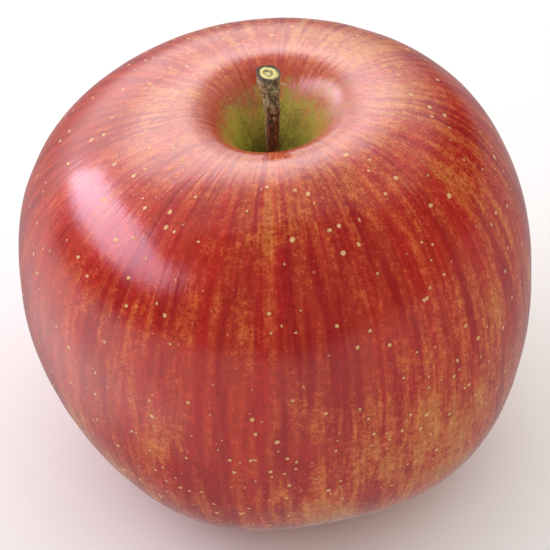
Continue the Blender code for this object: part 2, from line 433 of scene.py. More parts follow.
def pores(tree, place, cell, smallest, largest, presence):
    """Masks of round pores scattered over the skin, of their pale cores and of their dark edges."""
    ragged = add(tree, "TexNoise", {"Vector": place, "Scale": 1 / (0.7 * MM), "Detail": 1.0})
    bent = add(
        tree,
        "VectorMath",
        {0: ragged.outputs["Color"], 1: (0.5, 0.5, 0.5)},
        operation="SUBTRACT",
    )
    bent = add(tree, "VectorMath", {0: bent, "Scale": 0.45 * MM}, operation="SCALE")
    moved = add(tree, "VectorMath", {0: place, 1: bent}, operation="ADD")
    cells = add(tree, "TexVoronoi", {"Vector": moved, "Scale": 1 / cell, "Randomness": 1.0})
    lot = add(tree, "SeparateColor", {"Color": cells.outputs["Color"]})
    size = add(
        tree,
        "MapRange",
        {"Value": lot.outputs["Red"], "To Min": smallest / cell, "To Max": largest / cell},
    )
    there = add(tree, "Math", {0: lot.outputs["Green"], 1: presence}, operation="LESS_THAN")
    out = add(tree, "Math", {0: cells.outputs["Distance"], 1: size}, operation="DIVIDE")
    masks = []
    for low, high in ((1.15, 0.50), (0.55, 0.25), (1.9, 1.0)):
        mask = add(
            tree,
            "MapRange",
            {"Value": out, "From Min": low, "From Max": high},
            interpolation_type="SMOOTHSTEP",
        )
        masks.append(add(tree, "Math", {0: mask, 1: there}, operation="MULTIPLY"))
    return masks


def skin_material(settings):
    """Apple skin: red sap in streaks over a golden ground, under a thin polished wax.

    It gives the eye fine vertical fibres, orange where the blush thins out, cream pores of cork, a
    green cavity, and the broad soft mirror of a waxed surface.
    """
    material, tree, shader = new_material("waxed apple skin")
    place = add(tree, "TexCoord").outputs["Object"]
    growth = add(tree, "Attribute", attribute_name="growth").outputs["Vector"]
    along = add(tree, "SeparateXYZ", {"Vector": growth}).outputs["Z"]
    here = add(tree, "SeparateXYZ", {"Vector": place})

    broad = streaks(tree, growth, 6.5 * MM, 55 * MM, 0.38, 0.62, 1.0, 2.0)
    middling = streaks(tree, growth, 2.0 * MM, 18 * MM, 0.36, 0.64, 5.0, 1.0)
    fine = streaks(tree, growth, 0.8 * MM, 6 * MM, 0.34, 0.66, 9.0, 1.0)
    crest_fibres = streaks(tree, growth, 1.6 * MM, 9 * MM, 0.36, 0.64, 13.0, 2.0)
    patch = add(
        tree,
        "TexNoise",
        {"Vector": place, "Scale": 1 / (16 * MM), "Detail": 2.0, "Roughness": 0.55},
    )
    mottle = add(
        tree,
        "TexNoise",
        {"Vector": place, "Scale": 1 / (1.3 * MM), "Detail": 2.0, "Roughness": 0.6},
    )
    speckle = add(
        tree,
        "TexNoise",
        {"Vector": place, "Scale": 1 / (0.42 * MM), "Detail": 1.0, "Roughness": 0.6},
    )

    # The blush: crimson, red and scarlet streaks.
    deeper = add(tree, "MapRange", {"Value": broad, "To Min": 0.30, "To Max": 0.80})
    blush = add(
        tree, "Mix", {"Factor": deeper, "A": settings.crimson, "B": settings.red}, data_type="RGBA"
    )
    lighter = add(tree, "Math", {0: middling, 1: 0.36}, operation="MULTIPLY")
    blush = add(
        tree,
        "Mix",
        {"Factor": lighter, "A": blush, "B": settings.scarlet},
        data_type="RGBA",
    )

    # Where the ground colour shows: most on the right, low down and on the crest, in flecks.
    right = add(
        tree,
        "MapRange",
        {
            "Value": here.outputs["X"],
            "From Min": -6 * MM,
            "From Max": 32 * MM,
            "To Min": -0.045,
            "To Max": 0.04,
        },
        interpolation_type="SMOOTHSTEP",
    )
    low = add(
        tree,
        "MapRange",
        {"Value": here.outputs["Z"], "From Min": 52 * MM, "From Max": 18 * MM, "To Max": 0.11},
    )
    top = add(
        tree,
        "MapRange",
        {
            "Value": along,
            "From Min": THIN_CREST_ENDS[1],
            "From Max": THIN_CREST_ENDS[0],
            "To Max": 0.12,
        },
    )
    thin = add(tree, "Math", {0: right, 1: low}, operation="ADD")
    thin = add(tree, "Math", {0: thin, 1: top}, operation="ADD")
    for part, weight in (
        (patch, 0.46),
        (broad, 0.05),
        (middling, 0.09),
        (fine, 0.05),
        (mottle, 0.26),
        (speckle, 0.24),
    ):
        thin = add(tree, "Math", {0: part, 1: weight, 2: thin}, operation="MULTIPLY_ADD")
    is_orange = add(
        tree,
        "MapRange",
        {"Value": thin, "From Min": 0.57, "From Max": 0.78, "To Max": 0.75},
        interpolation_type="SMOOTHSTEP",
    )
    is_gold = add(
        tree,
        "MapRange",
        {"Value": thin, "From Min": 0.68, "From Max": 0.90, "To Max": 0.65},
        interpolation_type="SMOOTHSTEP",
    )
    skin = add(
        tree,
        "Mix",
        {"Factor": is_orange, "A": blush, "B": settings.orange},
        data_type="RGBA",
    )
    skin = add(tree, "Mix", {"Factor": is_gold, "A": skin, "B": settings.gold}, data_type="RGBA")

    # Fibres and mottling, as a lighter and darker veil over it all.
    near_crest = add(
        tree,
        "MapRange",
        {"Value": along, "From Min": CREST_FIBRES_END[1], "From Max": CREST_FIBRES_END[0]},
        interpolation_type="SMOOTHSTEP",
    )
    fibres = add(
        tree,
        "Mix",
        {"Factor": near_crest, "A": fine, "B": crest_fibres},
        data_type="FLOAT",
    )
    grain = add(tree, "Math", {0: mottle, 1: 0.9, 2: -0.55}, operation="MULTIPLY_ADD")
    grain = add(tree, "Math", {0: speckle, 1: 1.0, 2: grain}, operation="MULTIPLY_ADD")
    grain = add(
        tree,
        "Math",
        {0: fibres, 1: 0.2, 2: grain},
        operation="MULTIPLY_ADD",
        use_clamp=True,
    )
    shade = add(tree, "MapRange", {"Value": grain, "To Min": 0.66, "To Max": 1.30})
    skin = add(tree, "VectorMath", {0: skin, "Scale": shade}, operation="SCALE")

    # The stem cavity: russet, olive and lime, with a broken edge that runs out along the fibres.
    edge = add(tree, "Math", {0: crest_fibres, 1: 2.5 * MM, 2: along}, operation="MULTIPLY_ADD")
    edge = add(tree, "Math", {0: mottle, 1: 12 * MM, 2: edge}, operation="MULTIPLY_ADD")
    edge = add(tree, "Math", {0: patch, 1: 22 * MM, 2: edge}, operation="MULTIPLY_ADD")
    # The green is the skin's own, and its darkening from lime to olive deeper down is partly
    # painted shade.
    up_wall = add(tree, "MapRange", {"Value": along, "From Max": CAVITY_WALL})
    cavity = add(tree, "ValToRGB", {"Fac": up_wall})
    set_stops(
        cavity,
        (
            (0.20, settings.russet),
            (0.38, settings.olive),
            (0.62, settings.lime),
            (0.95, settings.gold),
        ),
    )
    green = add(
        tree,
        "MapRange",
        {"Value": edge, "From Min": GREEN_ENDS[1], "From Max": GREEN_ENDS[0]},
        interpolation_type="SMOOTHSTEP",
    )
    # Cork breaks the green up: yellower where it is thin and brown where it is thick.
    corky = add(
        tree,
        "TexNoise",
        {"Vector": place, "Scale": 1 / (3.2 * MM), "Detail": 3.0, "Roughness": 0.6},
    )
    corky = add(tree, "Math", {0: speckle, 1: 0.5, 2: corky}, operation="MULTIPLY_ADD")
    yellow = add(
        tree,
        "MapRange",
        {"Value": corky, "From Min": 0.76, "From Max": 0.92, "To Max": 0.7},
    )
    brown = add(
        tree,
        "MapRange",
        {"Value": corky, "From Min": 0.74, "From Max": 0.58, "To Max": 0.45},
    )
    mottled_green = add(
        tree,
        "Mix",
        {"Factor": yellow, "A": cavity, "B": settings.lime},
        data_type="RGBA",
    )
    mottled_green = add(
        tree,
        "Mix",
        {"Factor": brown, "A": mottled_green, "B": settings.russet},
        data_type="RGBA",
    )
    mottled_green = add(tree, "VectorMath", {0: mottled_green, "Scale": shade}, operation="SCALE")
    # Above the green, dull pink skin lines the cavity.
    inside = add(
        tree,
        "MapRange",
        {
            "Value": along,
            "From Min": CAVITY_LINING_ENDS[1],
            "From Max": CAVITY_LINING_ENDS[0],
            "To Max": 0.7,
        },
        interpolation_type="SMOOTHSTEP",
    )
    broken = add(tree, "MapRange", {"Value": crest_fibres, "To Min": 0.35})
    inside = add(tree, "Math", {0: inside, 1: broken}, operation="MULTIPLY")
    skin = add(tree, "Mix", {"Factor": inside, "A": skin, "B": settings.dusty}, data_type="RGBA")
    skin = add(tree, "Mix", {"Factor": green, "A": skin, "B": mottled_green}, data_type="RGBA")

    # Pores: large and sparse on the shoulders, smaller and closer towards the eye.
    lower = add(
        tree,
        "MapRange",
        {"Value": along, "From Min": SMALL_PORES_GROW[0], "From Max": SMALL_PORES_GROW[1]},
        interpolation_type="SMOOTHSTEP",
    )
    outside = add(
        tree,
        "MapRange",
        {"Value": along, "From Min": PORES_BEGIN[0], "From Max": PORES_BEGIN[1]},
        interpolation_type="SMOOTHSTEP",
    )
    upper_share = add(tree, "MapRange", {"Value": lower, "To Min": 0.85, "To Max": 0.30})
    upper_share = add(tree, "Math", {0: upper_share, 1: outside}, operation="MULTIPLY")
    lower_share = add(tree, "MapRange", {"Value": lower, "To Min": 0.10, "To Max": 0.95})
    lower_share = add(tree, "Math", {0: lower_share, 1: outside}, operation="MULTIPLY")
    large, large_core, large_edge = pores(
        tree, place, 2.75 * MM, 0.26 * MM, 0.50 * MM, upper_share
    )
    small, small_core, small_edge = pores(
        tree, place, 1.95 * MM, 0.18 * MM, 0.38 * MM, lower_share
    )
    closed, _, _ = pores(tree, place, 1.9 * MM, 0.10 * MM, 0.20 * MM, 0.7)
    rim = add(tree, "Math", {0: large_edge, 1: small_edge}, operation="MAXIMUM")
    rim = add(tree, "Math", {0: rim, 1: 0.28}, operation="MULTIPLY")
    skin = add(tree, "Mix", {"Factor": rim, "A": skin, "B": settings.crimson}, data_type="RGBA")
    closed = add(tree, "Math", {0: closed, 1: 0.55}, operation="MULTIPLY")
    skin = add(tree, "Mix", {"Factor": closed, "A": skin, "B": settings.speck}, data_type="RGBA")
    open_pore = add(tree, "Math", {0: large, 1: small}, operation="MAXIMUM")
    skin = add(tree, "Mix", {"Factor": open_pore, "A": skin, "B": settings.pore}, data_type="RGBA")
    core = add(tree, "Math", {0: large_core, 1: small_core}, operation="MAXIMUM")
    core = add(tree, "Math", {0: core, 1: 0.45}, operation="MULTIPLY")
    skin = add(tree, "Mix", {"Factor": core, "A": skin, "B": settings.speck}, data_type="RGBA")
    tree.links.new(skin.outputs[2], shader.inputs["Base Color"])

    # The wax is dull in the cavity and on the cork, and a little uneven with the mottling.
    rough = add(
        tree,
        "Math",
        {0: mottle, 1: 0.10, 2: settings.wax - 0.05},
        operation="MULTIPLY_ADD",
    )
    rough = add(tree, "Math", {0: green, 1: 0.30, 2: rough}, operation="MULTIPLY_ADD")
    rough = add(tree, "Math", {0: open_pore, 1: 0.30, 2: rough}, operation="MULTIPLY_ADD")
    tree.links.new(rough.outputs[0], shader.inputs["Roughness"])
    shader.inputs["IOR"].default_value = 1.46

    # Fibres stand a few hundredths of a millimetre proud, and so does the cork of a pore.
    height = add(tree, "Math", {0: fibres, 1: 0.8, 2: mottle}, operation="MULTIPLY_ADD")
    height = add(tree, "Math", {0: speckle, 1: 0.4, 2: height}, operation="MULTIPLY_ADD")
    height = add(tree, "Math", {0: open_pore, 1: 1.2, 2: height}, operation="MULTIPLY_ADD")
    bump = add(tree, "Bump", {"Height": height, "Strength": 0.6, "Distance": 0.03 * MM})
    tree.links.new(bump.outputs[0], shader.inputs["Normal"])
    return material


# ---------------------------------------------------------------- stem

STEM_ROUNDS = 26  # rounds from the foot to the top of the swollen end
STEM_SIDES = 24
FOOT_MARGIN = 0.05 * MM  # from the stem's foot to the first round
HEAD_MARGIN = 1.0 * MM  # from the last round to the stem's tip, to stay under the slanting cut
SPARE = 2.5 * MM  # bark above the last round, for the cut to take off
CUT_RISE = 0.75 * MM  # from the last round to the middle of the cut
CUT_LEAN = Vector((0.16, -0.05, 1)).normalized()

CURL_ROOT = Vector((0.7, -0.5, -0.4)) * MM  # from the middle of the swollen end
CURL_SIDES = 8
CURL_STEPS = (  # each step along the curl in millimetres, and how far the strip narrows in it
    ((1.15, -0.40, 0.25), 1.0),
    ((0.35, -0.10, 0.25), 1.0),
    ((0.40, -0.10, 0.10), 0.95),
    ((0.30, -0.05, -0.15), 0.9),
    ((0.10, 0.0, -0.35), 0.85),
    ((-0.15, 0.05, -0.30), 0.6),
)


def slice_at(node, height):
    """Middle and mean radius of a node where a level plane cuts it."""
    mesh = NODES[node].data
    rows = places(mesh)
    ends = np.array([edge.vertices[:] for edge in mesh.edges])
    a, b = rows[ends[:, 0]], rows[ends[:, 1]]
    crosses = (a[:, 2] - height) * (b[:, 2] - height) < 0
    a, b = a[crosses], b[crosses]
    met = a + (b - a) * ((height - a[:, 2]) / (b[:, 2] - a[:, 2]))[:, None]
    met = np.unique(met.round(7), axis=0)
    middle = (met.min(axis=0) + met.max(axis=0)) / 2
    return Vector(middle), float(np.linalg.norm(met - middle, axis=1).mean())


def build_stem(settings):
    """Rounds of bark up the middle line, cut off aslant, with the rim and the wood inset."""
    foot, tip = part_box("stem")
    heights = np.linspace(foot.z + FOOT_MARGIN, tip.z - HEAD_MARGIN, STEM_ROUNDS)
    rounds = [slice_at("stem", height) for height in heights]
    rounds.append((rounds[-1][0] + Vector((0, 0, SPARE)), rounds[-1][1]))
    deselect_all()
    middle, radius = rounds[0]
    bpy.ops.mesh.primitive_circle_add(
        vertices=STEM_SIDES, radius=radius, fill_type="NGON", location=middle
    )
    stem = bpy.context.object
    stem.name = stem.data.name = "stem_bark_and_wood"
    bpy.ops.object.transform_apply(location=True, rotation=True, scale=True)
    bpy.ops.object.mode_set(mode="EDIT")
    for next_middle, next_radius in rounds[1:]:
        step = next_middle - middle
        bpy.ops.mesh.extrude_region_move(TRANSFORM_OT_translate={"value": step})
        widen = next_radius / radius
        bpy.ops.transform.resize(value=(widen, widen, 1), center_override=next_middle)
        middle, radius = next_middle, next_radius
    cut = rounds[-2][0] + Vector((0, 0, CUT_RISE))
    bpy.ops.mesh.select_all(action="SELECT")
    bpy.ops.mesh.bisect(plane_co=cut, plane_no=CUT_LEAN, use_fill=True, clear_outer=True)
    bpy.ops.mesh.inset(thickness=settings.rim * 0.45, depth=0.0)
    bpy.ops.mesh.inset(thickness=settings.rim * 0.55, depth=-0.16 * MM)
    bpy.ops.mesh.inset(thickness=0.10 * MM, depth=0.05 * MM)
    bpy.ops.mesh.inset(thickness=0.55 * MM, depth=0.04 * MM)
    bpy.ops.mesh.inset(thickness=0.45 * MM, depth=-0.05 * MM)
    curl_bark(rounds[-3][0], settings.curl)
    bpy.ops.mesh.select_all(action="SELECT")
    bpy.ops.mesh.normals_make_consistent(inside=False)
    bpy.ops.object.mode_set(mode="OBJECT")
    subdivide(stem, 3)
    shape_bark(stem.data, settings, cut, radius)
    stem.data.materials.append(bark_material(settings))
    finish_piece(stem, "stem_bark", "stem")


def curl_bark(middle, thickness):
    """A thin strip of torn bark that curls out and down from the right of the swollen end."""
    place = middle + CURL_ROOT
    sideways = (0, math.pi / 2, 0)
    bpy.ops.mesh.select_all(action="DESELECT")
    bpy.ops.mesh.primitive_circle_add(
        vertices=CURL_SIDES, radius=thickness, fill_type="NGON", location=place, rotation=sideways
    )
    for step, widen in CURL_STEPS:
        move = Vector(step) * MM
        place = place + move
        bpy.ops.mesh.extrude_region_move(TRANSFORM_OT_translate={"value": move})
        bpy.ops.transform.resize(value=(widen, widen, widen), center_override=place)


def shape_bark(mesh, settings, cut, head_radius):
    """Furrows along the bark, lumps round the swollen end, and the marks that the material needs.

    The marks are where the wood is, how far a place is from the pith and up the stem, how high a
    furrow stands, and which of the bark is the strip that peels off.
    """
    centre, lean = np.array(cut), np.array(CUT_LEAN)
    rows = places(mesh)
    normals = outward(mesh)
    foot, tip = rows[:, 2].min(), rows[:, 2].max()
    up = (rows[:, 2] - foot) / (tip - foot)
    from_cut = (rows - centre) @ lean
    on_cut = smoothstep(0.55, 0.9, normals @ lean) * (from_cut > -0.6 * MM)
    flat = rows - centre
    flat = flat - np.outer(flat @ lean, lean)
    out = np.linalg.norm(flat, axis=1) / head_radius
    crumbs = relief(rows, 0.5 * MM, 33.0)
    wood = on_cut * smoothstep(0.82, 0.74, out + 0.12 * crumbs)
    stretched = rows * np.array((1, 1, 0.22))
    furrows = np.abs(relief(stretched, 0.55 * MM, 4.0)) * 1.6 - 0.5
    high = smoothstep(0.55, 0.80, up)
    lumps = relief(rows, 1.5 * MM, 21.0)
    beside = np.linalg.norm(rows[:, :2] - centre[:2], axis=1) / head_radius
    peel = smoothstep(1.04, 1.10, beside) * (up > 0.8) * (rows[:, 0] > centre[0])
    bark = (1 - on_cut) * (1 - peel)
    lift = settings.furrow * furrows * (0.5 + 0.5 * high) + settings.lump * high * lumps
    lift += 0.05 * MM * crumbs * (0.4 + high)
    free = smoothstep(0.18, 0.24, up)
    rows = rows + normals * (lift * bark * free)[:, None]
    rows = rows + np.outer(0.035 * MM * wood * crumbs, lean)
    set_places(mesh, rows)
    add_attribute(mesh, "wood", "FLOAT", wood)
    add_attribute(mesh, "from_pith", "FLOAT", out + 0.16 * relief(rows, 0.9 * MM, 41.0))
    add_attribute(mesh, "furrow", "FLOAT", np.clip(0.5 + furrows, 0, 1))
    add_attribute(mesh, "up", "FLOAT", up)
    add_attribute(mesh, "peel", "FLOAT", peel)


def bark_material(settings):
    """Young fruit-tree bark, dried, and cut wood.

    The bark is red-brown and smooth below, grey-green and flaking above, and dark at the cut rim.
    The cut shows pale dry wood with a ring of open vessels round the pith.
    """
    material, tree, shader = new_material("dried stem bark and cut wood")
    place = add(tree, "TexCoord").outputs["Object"]
    up = add(tree, "Attribute", attribute_name="up").outputs["Fac"]
    furrow = add(tree, "Attribute", attribute_name="furrow").outputs["Fac"]
    wood = add(tree, "Attribute", attribute_name="wood").outputs["Fac"]
    from_pith = add(tree, "Attribute", attribute_name="from_pith").outputs["Fac"]
    long_grain = add(tree, "Mapping", {"Vector": place, "Scale": (1, 1, 0.2)})
    fibres = add(tree, "TexNoise", {"Vector": long_grain, "Scale": 1 / (0.35 * MM), "Detail": 3.0})
    flakes = add(
        tree,
        "TexNoise",
        {"Vector": place, "Scale": 1 / (0.8 * MM), "Detail": 3.0, "Roughness": 0.65},
    )

    height = add(tree, "Math", {0: flakes, 1: 0.35, 2: up}, operation="MULTIPLY_ADD")
    is_grey = add(
        tree,
        "MapRange",
        {"Value": height, "From Min": 0.80, "From Max": 0.98},
        interpolation_type="SMOOTHSTEP",
    )
    bark = add(
        tree,
        "Mix",
        {"Factor": is_grey, "A": settings.red_bark, "B": settings.grey_bark},
        data_type="RGBA",
    )
    pale = add(
        tree,
        "MapRange",
        {"Value": fibres, "From Min": 0.52, "From Max": 0.70, "To Max": 0.55},
        interpolation_type="SMOOTHSTEP",
    )
    bark = add(tree, "Mix", {"Factor": pale, "A": bark, "B": settings.scuffed_and_highlight}, data_type="RGBA")
    dirt = add(
        tree,
        "MapRange",
        {"Value": flakes, "From Min": 0.50, "From Max": 0.36, "To Max": 0.8},
    )
    bark = add(tree, "Mix", {"Factor": dirt, "A": bark, "B": settings.crevice}, data_type="RGBA")
    # Painted highlight: the stem's left edge, which faces the light, is painted pale.
    side = add(tree, "SeparateXYZ", {"Vector": place}).outputs["X"]
    painted_left_highlight = add(
        tree,
        "MapRange",
        {"Value": side, "From Min": -1.4 * MM, "From Max": -1.9 * MM, "To Max": 0.45},
    )
    bark = add(tree, "Mix", {"Factor": painted_left_highlight, "A": bark, "B": settings.scuffed_and_highlight}, data_type="RGBA")
    deep = add(
        tree,
        "MapRange",
        {"Value": furrow, "From Min": 0.35, "From Max": 0.0, "To Max": 0.8},
    )
    bark = add(tree, "Mix", {"Factor": deep, "A": bark, "B": settings.crevice}, data_type="RGBA")
    rim = add(
        tree,
        "MapRange",
        {"Value": up, "From Min": 0.955, "From Max": 0.985, "To Max": 0.85},
    )
    bark = add(tree, "Mix", {"Factor": rim, "A": bark, "B": settings.crevice}, data_type="RGBA")

    peel = add(tree, "Attribute", attribute_name="peel").outputs["Fac"]
    bark = add(tree, "Mix", {"Factor": peel, "A": bark, "B": settings.scuffed_and_highlight}, data_type="RGBA")

    vessels = add(
        tree,
        "TexVoronoi",
        {"Vector": place, "Scale": 1 / (0.42 * MM), "Randomness": 1.0},
    )
    hole = add(
        tree,
        "MapRange",
        {"Value": vessels.outputs["Distance"], "From Min": 0.42, "From Max": 0.22},
    )
    ring = add(tree, "ValToRGB", {"Fac": from_pith})
    set_stops(
        ring,
        (
            (0.00, (0.35, 0.35, 0.35)),
            (0.14, (0.10, 0.10, 0.10)),
            (0.26, (0.90, 0.90, 0.90)),
            (0.38, (1.00, 1.00, 1.00)),
            (0.50, (0.12, 0.12, 0.12)),
            (0.66, (0.05, 0.05, 0.05)),
            (0.78, (0.9, 0.9, 0.9)),
        ),
    )
    marks = add(tree, "Math", {0: ring, 1: flakes}, operation="MULTIPLY")
    marks = add(tree, "Math", {0: marks, 1: 1.5}, operation="MULTIPLY")
    pits = add(tree, "Math", {0: ring, 1: hole}, operation="MULTIPLY")
    marks = add(tree, "Math", {0: marks, 1: pits}, operation="MAXIMUM", use_clamp=True)
    cut = add(
        tree,
        "Mix",
        {"Factor": marks, "A": settings.wood, "B": settings.pith},
        data_type="RGBA",
    )
    finish = add(tree, "Mix", {"Factor": wood, "A": bark, "B": cut}, data_type="RGBA")
    tree.links.new(finish.outputs[2], shader.inputs["Base Color"])
    shader.inputs["Roughness"].default_value = 0.72

    bump_height = add(tree, "Math", {0: fibres, 1: flakes}, operation="ADD")
    bump = add(tree, "Bump", {"Height": bump_height, "Strength": 0.8, "Distance": 0.12 * MM})
    tree.links.new(bump.outputs[0], shader.inputs["Normal"])
    return material


# ---------------------------------------------------------------- eye


def build_sepals(settings):
    """The five sepals, rounded and wrinkled along their length."""
    downy = sepal_material(settings)
    for node in SEPALS:
        piece = merged_copy(node, f"dried_{node}")
        make_quads(piece)
        subdivide(piece, 2)
        rows = places(piece.data)
        wrinkle = relief(rows * np.array((1, 1, 0.35)), 0.8 * MM, 2.0)
        set_places(piece.data, rows + outward(piece.data) * (0.07 * MM * wrinkle)[:, None])
        piece.data.materials.append(downy)
        finish_piece(piece, "dried_sepal", node)


def sepal_material(settings):
    """Dried sepal: thin brown leaf under pale matted down, so it looks soft and quite matte."""
    material, tree, shader = new_material("dried downy sepal")
    place = add(tree, "TexCoord").outputs["Object"]
    lengthwise = add(tree, "Mapping", {"Vector": place, "Scale": (1, 1, 0.3)})
    veins = add(tree, "TexNoise", {"Vector": lengthwise, "Scale": 1 / (0.5 * MM), "Detail": 3.0})
    matted = add(
        tree,
        "MapRange",
        {"Value": veins, "From Min": 0.45, "From Max": 0.65, "To Max": 0.8},
    )
    leaf = add(
        tree,
        "Mix",
        {"Factor": matted, "A": settings.sepal, "B": settings.down},
        data_type="RGBA",
    )
    tree.links.new(leaf.outputs[2], shader.inputs["Base Color"])
    shader.inputs["Roughness"].default_value = 0.9
    shader.inputs["Sheen Weight"].default_value = 0.3
    bump = add(tree, "Bump", {"Height": veins, "Strength": 0.8, "Distance": 0.1 * MM})
    tree.links.new(bump.outputs[0], shader.inputs["Normal"])
    return material


def build_threads(settings):
    """The stamens and the styles, rounded and roughened."""
    dried = thread_material(settings)
    for node in [*STAMENS, "styles"]:
        piece = merged_copy(node, f"dried_{node}")
        subdivide(piece, 2)
        rows = places(piece.data)
        crumpled = relief(rows, 0.3 * MM, 6.0)
        set_places(piece.data, rows + outward(piece.data) * (0.03 * MM * crumpled)[:, None])
        piece.data.materials.append(dried)
        finish_piece(piece, "dried_stamen", node)


def thread_material(settings):
    """Dried stamen: brown brittle thread with a blackened tip."""
    material, tree, shader = new_material("dried flower thread")
    place = add(tree, "TexCoord").outputs["Object"]
    height = add(tree, "SeparateXYZ", {"Vector": place}).outputs["Z"]
    tip = add(tree, "MapRange", {"Value": height, "From Min": 7.0 * MM, "From Max": 5.6 * MM})
    grain = add(tree, "TexNoise", {"Vector": place, "Scale": 1 / (0.2 * MM), "Detail": 2.0})
    tip = add(tree, "Math", {0: tip, 1: grain}, operation="MULTIPLY")
    tip = add(tree, "Math", {0: tip, 1: 1.8}, operation="MULTIPLY", use_clamp=True)
    thread = add(
        tree,
        "Mix",
        {"Factor": tip, "A": settings.thread, "B": settings.anther},
        data_type="RGBA",
    )
    tree.links.new(thread.outputs[2], shader.inputs["Base Color"])
    shader.inputs["Roughness"].default_value = 0.85
    bump = add(tree, "Bump", {"Height": grain, "Strength": 0.6, "Distance": 0.05 * MM})
    tree.links.new(bump.outputs[0], shader.inputs["Normal"])
    return material


# ---------------------------------------------------------------- stage

FLOOR_SIZE = 12
FLOOR_GAP = 0.05 * MM  # keeps the floor from showing through the flats that the fruit rests on
NO_END = 2.0  # a bound that no part of a unit direction reaches
CAMERA_WHITE = 0.97
FAINTEST = 0.03  # the least light that the wax mirrors from any side


def build_stage(settings):
    """The floor, the lamps, the room round them and the camera."""
    deselect_all()
    ground = CAD_BOX[0].z - FLOOR_GAP
    bpy.ops.mesh.primitive_plane_add(size=FLOOR_SIZE, location=(0, 0, ground))
    floor = bpy.context.object
    floor.name = "pale_floor"
    floor.data.materials.append(floor_material(settings))
    floor.visible_glossy = False
    add_lamp(
        "ceiling_lamp", (0.0, 0.66, 0.80), (2.0, 1.32), (0, 0, -1), settings.ceiling, "#FFF8F2"
    )
    add_lamp(
        "side_lamp", (-0.42, 0.04, 0.26), (0.30, 0.40), (0.55, 0, -1), settings.side, "#E9E4FF"
    )
    add_room(settings)
    add_camera(settings)


def floor_material(settings):
    """Matte white paper: even and pale, with no gloss."""
    material, tree, shader = new_material("white paper sweep")
    place = add(tree, "TexCoord").outputs["Object"]
    tooth = add(tree, "TexNoise", {"Vector": place, "Scale": 1 / (1.5 * MM), "Detail": 2.0})
    rough = add(tree, "MapRange", {"Value": tooth, "To Min": 0.85, "To Max": 0.95})
    tree.links.new(rough.outputs[0], shader.inputs["Roughness"])
    shader.inputs["Base Color"].default_value = (*settings.floor, 1)
    shader.inputs["Specular IOR Level"].default_value = 0.1
    return material


def add_lamp(name, place, size, facing, brightness, tint):
    """A flat lamp of a given radiance, whatever its size, that nothing mirrors."""
    bpy.ops.object.light_add(type="AREA", location=place)
    lamp = bpy.context.object
    lamp.name = name
    lamp.rotation_euler = Vector(facing).to_track_quat("-Z", "Y").to_euler()
    lamp.data.shape = "RECTANGLE"
    lamp.data.size, lamp.data.size_y = size
    lamp.data.energy = brightness * math.pi * size[0] * size[1]
    lamp.data.color = linear(tint)
    lamp.visible_camera = False
    lamp.visible_glossy = False


def between(tree, value, low, high, soft):
    """1 where a value lies between two bounds, fading to 0 over a soft edge at each."""
    rise = add(
        tree,
        "MapRange",
        {"Value": value, "From Min": low - soft, "From Max": low + soft},
        interpolation_type="SMOOTHSTEP",
    )
    fall = add(
        tree,
        "MapRange",
        {"Value": value, "From Min": high + soft, "From Max": high - soft},
        interpolation_type="SMOOTHSTEP",
    )
    return add(tree, "Math", {0: rise, 1: fall}, operation="MULTIPLY")


def bearing(tree, turn, low, high, soft):
    """1 where a turn lies between two bearings in degrees, clockwise from straight back."""
    return between(tree, turn, *(math.radians(angle) for angle in (low, high, soft)))


